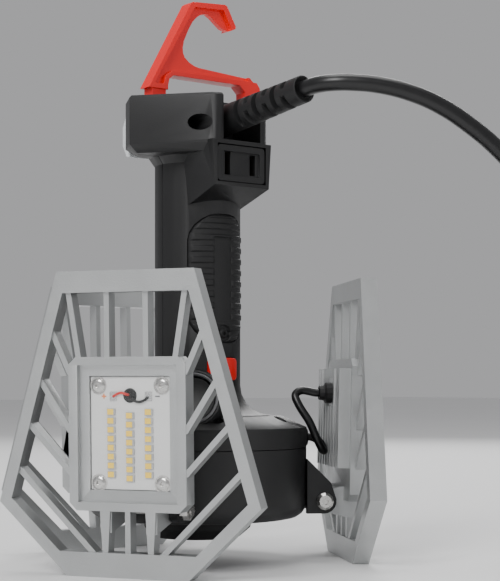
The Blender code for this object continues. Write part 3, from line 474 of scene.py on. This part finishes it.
stages = [(2.45, -2.45 * PITCH, 0.0), (0.35, -0.35 * PITCH, PITCH),
          (1.72, 1.72 * PITCH, 0.0), (0.35, 0.35 * PITCH, PITCH),
          (0.84, -0.84 * PITCH, 0.0), (0.30, 0.0, 8.0 * MM)]
lying = coil_points(stages, 48.8 * MM, 3.6 * MM, -0.25 + 0.03)
print("coil ends at", np.round((lying[-1] - [COIL_X, COIL_Y, 0]) / MM, 1))
plug_tail = np.array([(137.8, -180.3, 25.6), (147.3, -175.3, 26.4), (152.5, -169.8, 26.9),
                      (154.0, -163.6, 27.1)]) * MM
route = np.concatenate([hanging, lying, plug_tail])
cord = wire("cord_line", [hub_point(*p) for p in route], CORD_R, "cord_vinyl")
cord.data.bevel_resolution = 5
cord.data.resolution_u = 8
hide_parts("cord", "cord_coil")
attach(cord, "body")
dress("plug", "black_rubber")
dress("plug_blade_wide", "brass")
dress("plug_blade_narrow", "brass")

# %% [markdown]
# ## The boot on the cord
# The boot is a taper whose radius dips in short slots, alternately on two sides, which let it
# bend. Its tip is a plain collar with a small funnel for the cord.

# %% The slotted boot
tip = hub_point(0.0, -68.0 * MM, 186.2 * MM)
boot_dir = Vector((0.0, -0.9933, 0.1155)).normalized()
BOOT = 55.0 * MM


def boot_surface(steps=300, sides=48):
    """radius(s, a) = 6.3 - s/55 - 2.3 slot(s) gate(a): slot is 1 inside the six slot pairs, and
    gate is 1 on the two sides that a slot covers, turned a quarter for every second slot."""
    s = np.linspace(0.0, 55.0, steps)
    a = np.linspace(0.0, 2 * np.pi, sides, endpoint=False)
    taper = 6.3 - s / 55.0
    start, pitch = 17.0, 5.6
    number = np.floor((s - start) / pitch)
    within = (s - start) / pitch - number
    inside = (number >= 0) & (number < 6)
    edge = np.clip((0.24 - np.abs(within - 0.5)) / 0.05, 0.0, 1.0) * inside
    quarter = np.where(number % 2 == 0, 0.0, np.pi / 2)
    side = np.abs(np.cos(a[None, :] - quarter[:, None]))
    gate = np.clip((side - 0.32) / 0.12, 0.0, 1.0)
    radius = taper[:, None] - 2.3 * edge[:, None] * gate
    points = np.stack([radius * np.cos(a), radius * np.sin(a),
                       np.repeat(s[:, None], sides, 1)], -1)
    caps = [np.stack([r * np.cos(a), r * np.sin(a), np.full(sides, z)], -1)
            for r, z in ((4.9, 55.3), (3.3, 53.8), (0.0, 53.8))]
    root = np.stack([0 * a, 0 * a, np.full(sides, 0.0)], -1)
    return np.concatenate([root[None], points, np.array(caps)]) * MM


boot_grid = boot_surface()
boot_place = Matrix.Translation(tip - boot_dir * BOOT) @ boot_dir.to_track_quat("Z", "Y").to_matrix().to_4x4()
boot = welded(new_piece("boot", placed(boot_grid.reshape(-1, 3), boot_place),
                        grid_faces(*boot_grid.shape[:2], wrap=True), "black_rubber"))
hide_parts("strain_relief")
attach(boot, "body")
print("boot of", len(boot.data.polygons), "faces")

# %% [markdown]
# ## Shells, hub and castings
# Each of these is a merged copy of its CAD node with a Bevel on its sharp edges. The Bevel may not
# overlap itself, so a piece with very short edges keeps nearly sharp ones: the foot, the lens, the
# button and the cap are rounded, while the shells, the hub, the castings and the hook hardly are.

# %% Bevelled copies of the big parts
softened("front_shell", "body", "black_plastic", 0.5 * MM)
softened("rear_shell", "body", "black_plastic", 0.5 * MM)
softened("hub_cover", "body", "black_plastic", 0.45 * MM)
softened("hub_base", "body", "black_plastic", 0.4 * MM)
softened("foot_plate", "body", "black_rubber", 0.5 * MM)
softened("hook", "body", "red_plastic", 0.5 * MM, 3)
softened("mode_button", "button", "red_plastic", 0.4 * MM, 3)
softened("outlet_face", "body", "black_plastic", 0.2 * MM)
softened("task_lens", "body", "frosted_lens", 0.5 * MM)
# the bezel's lighter grey is a painted highlight on its rim
softened("cap_bezel", "body", "painted_highlight_ring", 0.15 * MM)
softened("round_cap", "body", "black_plastic", 0.2 * MM)
for name in HEADS:
    softened(f"casting_{name}", f"head_{name}", "cast_silver", 0.45 * MM)
print("bevelled copies made")

# %% CAD nodes that stay as they are
KEEP = {"black_plastic": ["switch_body"],
        "green_board": ["driver_board"],
        "white_board": ["task_led_board"],
        "brass": ["contact_left", "contact_right"],
        # painted shade: the sunk screws are made near-black for the shade in their holes
        "painted_hole_shade": ["handle_screw", "housing_screw_left", "housing_screw_right"],
        "nickel": [f"hub_screw_{k}" for k in range(1, 5)]}
for material, names in KEEP.items():
    for name in names:
        dress(name, material)
for name in HEADS:
    dress(f"window_{name}", "clear_glass")
    dress(f"led_board_{name}", "white_board")
    dress(f"cable_gland_{name}", "black_rubber")
    dress(f"grommet_{name}", "black_rubber")
    dress(f"hinge_bolt_{name}", "nickel")
    dress(f"hinge_nut_{name}", "nickel")
print("finishes set on the nodes that stay")

# %% [markdown]
# ## The button's spring
# A small coil spring stands behind the button.

# %% The spring
t = np.linspace(0.0, 1.0, 160)
SPRING_Z = 79.45
helix = np.stack([2.4 * np.cos(2 * np.pi * 3.5 * t), -10.6 + 2.3 * t + AXIS_Y / MM,
                  SPRING_Z + 2.4 * np.sin(2 * np.pi * 3.5 * t)], -1) * MM
spring_grid = tube_grid(helix, 0.22 * MM, 8)
spring = welded(new_piece("spring", spring_grid.reshape(-1, 3),
                          grid_faces(*spring_grid.shape[:2], wrap=True), "nickel"))
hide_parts("button_spring")
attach(spring, "body")
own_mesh(spring)
print("spring of", len(spring.data.polygons), "faces")

# %% [markdown]
# ## The grip
# The rubber inlay follows the handle's round. Fine ridges run across it, and a plain panel is left
# recessed in its middle.

# %% The ridged grip
def grip_surface(rows=360, columns=60):
    """At height z the pad spans |x| <= w(z), with w from its round corners. The point there is
    (x, -sqrt(r^2 - x^2), z), and r = 17.9 + 0.5 ridge(z) outside the panel and 17.7 inside it,
    1 less over the screw's hole. The outermost points drop to 16.9, which makes the pad's edge."""
    half, low, high, corner = 13.35, 90.45, 142.35, 11.0
    z = np.linspace(low, high, rows)
    over = np.clip(np.maximum(low + corner - z, z - high + corner), 0.0, corner)
    wide = half - corner + np.sqrt(np.clip(corner ** 2 - over ** 2, 0.0, None))
    x = wide[:, None] * np.linspace(-1.0, 1.0, columns)[None, :]
    zz = np.repeat(z[:, None], columns, 1)
    ridge = np.clip(1.35 * np.sin(2 * np.pi * (zz - low) / 4.6) + 0.55, 0.0, 1.0)
    panel = (np.clip((4.9 - np.abs(x)) / 0.5, 0, 1) * np.clip((133.4 - zz) / 0.5, 0, 1)
             * np.clip((zz - 98.6) / 0.5, 0, 1))
    edge = (np.clip((wide[:, None] - np.abs(x)) / 0.8, 0, 1) * np.clip((zz - low) / 0.8, 0, 1)
            * np.clip((high - zz) / 0.8, 0, 1))
    hole = np.clip((3.6 - np.hypot(x, zz - 94.0)) / 0.4, 0, 1)
    radius = 17.7 + (0.2 + 0.5 * ridge * edge) * (1 - panel) - 1.0 * hole
    radius[[0, -1], :] = radius[:, [0, -1]] = 16.9
    return np.stack([x, -np.sqrt(radius ** 2 - x ** 2) + AXIS_Y / MM, zz], -1) * MM


grip_grid = grip_surface()
grip = new_piece("grip", grip_grid.reshape(-1, 3), grid_faces(*grip_grid.shape[:2]), "black_rubber")
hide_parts("grip_pad")
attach(grip, "body")
print("grip of", len(grip.data.polygons), "faces")

# %% [markdown]
# ## Under each window
# Every head has a white board with three columns of eight LED chips, four screws with washers, two
# solder pads, and a red and a black wire that come through a hole near the top.

# %% LED boards
CHIP_TOP, CHIP_PITCH, CHIP_ROWS = 38.0, 3.4, 8
FACE = 12.6


def seat_ring(name, half, low, high, a, place):
    """A raised step around the window: a square-cornered loop whose section is a small trapezium,
    (inset, height) = (0, 0), (0.2, 0.35), (0.9, 0.35), (1.1, 0)."""
    section = np.array([(0.0, 0.0), (0.2, 0.35), (0.9, 0.35), (1.1, 0.0)])
    corner = np.array([(-1.0, 0.0), (1.0, 0.0), (1.0, 1.0), (-1.0, 1.0)])
    inward = np.array([(1.0, 1.0), (-1.0, 1.0), (-1.0, -1.0), (1.0, -1.0)])
    loop = np.stack([corner[:, 0] * half, low + corner[:, 1] * (high - low)], -1)
    wz = loop[None] + inward[None] * section[:, 0][:, None, None]
    depth = np.repeat(-(a - 0.35 + section[:, 1])[:, None], 4, 1)
    grid = np.stack([wz[..., 0], depth, wz[..., 1]], -1)
    grid = np.concatenate([grid, grid[:1]])
    return welded(new_piece(name, placed(grid.reshape(-1, 3) * MM, place),
                            grid_faces(5, 4, wrap=True), "seat_grey", smooth=False))


def lay_out(name):
    place = head_matrix(name)
    body = f"head_{name}"
    chips = [(w, -(FACE + 0.3), CHIP_TOP - drop - CHIP_PITCH * k)
             for w, drop in ((-7.85, 0.0), (0.0, 1.4), (7.85, 0.0)) for k in range(CHIP_ROWS)]
    chips = np.array(chips) * MM
    pieces = [boxes(f"chip_frames_{name}", chips, np.array((3.4, 0.6, 2.5)) * MM, place, "led_frame"),
              boxes(f"chips_{name}", chips + np.array((-0.25, -0.1, 0.0)) * MM,
                    np.array((2.5, 0.6, 2.1)) * MM, place, "led_phosphor")]
    screw_profile = [(0.0, 0.0), (3.4, 0.0), (3.4, 0.25), (2.7, 0.25), (2.7, 0.5), (2.2, 0.95),
                     (1.5, 1.1), (0.85, 1.1), (0.8, 0.35), (0.0, 0.35)]
    for k, (w, z) in enumerate(((-13.3, 10.9), (13.3, 10.9), (-13.3, 48.0), (13.3, 48.0))):
        outward = (Matrix.Translation((w * MM, -FACE * MM, z * MM))
                   @ Matrix.Rotation(math.radians(90), 4, "X") @ Matrix.Scale(MM, 4))
        pieces.append(turned(f"board_screw_{name}_{k + 1}", screw_profile, 24, place @ outward, "nickel"))
    pads = np.array([(-7.0, -(FACE + 0.12), 43.9), (7.7, -(FACE + 0.12), 43.9)]) * MM
    pieces.append(boxes(f"pads_{name}", pads, np.array((3.0, 0.24, 3.6)) * MM, place, "solder"))
    plus = boxes(f"plus_mark_{name}", np.array([(-11.0, -(FACE + 0.04), 43.9)]) * MM,
                 np.array((1.9, 0.08, 0.5)) * MM, place, "orange_ink")
    stem = boxes(f"plus_stem_{name}", np.array([(-11.0, -(FACE + 0.05), 43.9)]) * MM,
                 np.array((0.5, 0.1, 1.9)) * MM, place, "orange_ink")
    minus = boxes(f"minus_mark_{name}", np.array([(11.4, -(FACE + 0.04), 43.9)]) * MM,
                  np.array((1.9, 0.08, 0.5)) * MM, place, "grey_ink")
    ring = [(0.0, 0.02), (1.0, 0.02), (1.5, 0.1), (2.1, 0.55), (2.7, 0.45), (2.8, 0.0), (0.0, 0.0)]
    grommet = (Matrix.Translation((0, -FACE * MM, 44.2 * MM))
               @ Matrix.Rotation(math.radians(90), 4, "X") @ Matrix.Scale(MM, 4))
    # the grommet's disc is near-black as painted shade for the wire hole
    pieces += [plus, stem, minus, turned(f"wire_grommet_{name}", ring, 24, place @ grommet,
                                         "painted_hole_shade")]
    red = [(-0.6, -11.8, 44.4), (-1.2, -13.15, 44.6), (-3.4, -13.2, 45.2), (-5.6, -13.1, 44.6),
           (-7.0, -12.95, 43.8)]
    black = [(0.6, -11.8, 43.8), (1.0, -13.2, 43.2), (3.0, -13.2, 41.9), (5.6, -13.2, 42.2),
             (7.6, -12.95, 43.6)]
    pieces.append(wire(f"red_wire_{name}", [place @ (Vector(p) * MM) for p in red], 0.5 * MM,
                       "red_wire"))
    pieces.append(wire(f"black_wire_{name}", [place @ (Vector(p) * MM) for p in black], 0.5 * MM,
                       "cord_vinyl"))
    for step, (half, low, high, a) in enumerate(((20.5, 3.8, 55.6, 13.45), (18.4, 6.4, 53.2, 12.9))):
        pieces.append(seat_ring(f"seat_{name}_{step + 1}", half, low, high, a, place))
    for piece in pieces:
        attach(piece, body)
    return len(pieces)


print("pieces on the boards:", [lay_out(name) for name in HEADS])

# %% [markdown]
# ## Leads to the heads
# A short lead leaves the hub beside each hinge, loops up behind the head and ends in its gland. It is
# blended from the hub's end to the head's.

# %% Head leads
LEAD_R = 1.7 * MM
lead_place = [(4.5, 43.0, 50.9), (4.5, 49.2, 50.8), (3.4, 52.6, 48.6), (0.0, 53.6, 45.6),
              (-4.0, 52.0, 46.0), (-6.0, 49.2, 51.0), (-5.4, 46.4, 57.5), (-3.2, 42.6, 64.0),
              (-1.0, 41.2, 68.6), (0.0, 44.2, 70.6)]


def lead_tube(name, steps=90):
    """A tube along a Catmull-Rom curve through the lead's points, from the hub to the gland."""
    spin = Matrix.Rotation(math.radians(HEADS[name]), 3, "Z")
    shift = Vector((0, AXIS_Y, 0))
    control = [spin @ (Vector((w, -r, z)) * MM) + shift for w, r, z in lead_place]
    mouth = head_matrix(name) @ Vector((0.0, 0.5 * MM, GLAND_Z))
    control += [mouth + spin @ Vector((0, 1.6 * MM, 0)), mouth]
    p = np.array([2 * control[0] - control[1]] + control + [2 * control[-1] - control[-2]])
    t = np.linspace(0.0, len(control) - 1.001, steps)
    k = t.astype(int)
    u = (t - k)[:, None]
    a, b, c, d = p[k], p[k + 1], p[k + 2], p[k + 3]
    line = 0.5 * (2 * b + (c - a) * u + (2 * a - 5 * b + 4 * c - d) * u ** 2
                  + (3 * b - 3 * c + d - a) * u ** 3)
    return tube_grid(line, LEAD_R, 14)


for name in HEADS:
    grid = lead_tube(name)
    lead = welded(new_piece(f"lead_{name}", grid.reshape(-1, 3),
                            grid_faces(*grid.shape[:2], wrap=True), "cord_vinyl"))
    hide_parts(f"head_lead_{name}")
    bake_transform(lead)
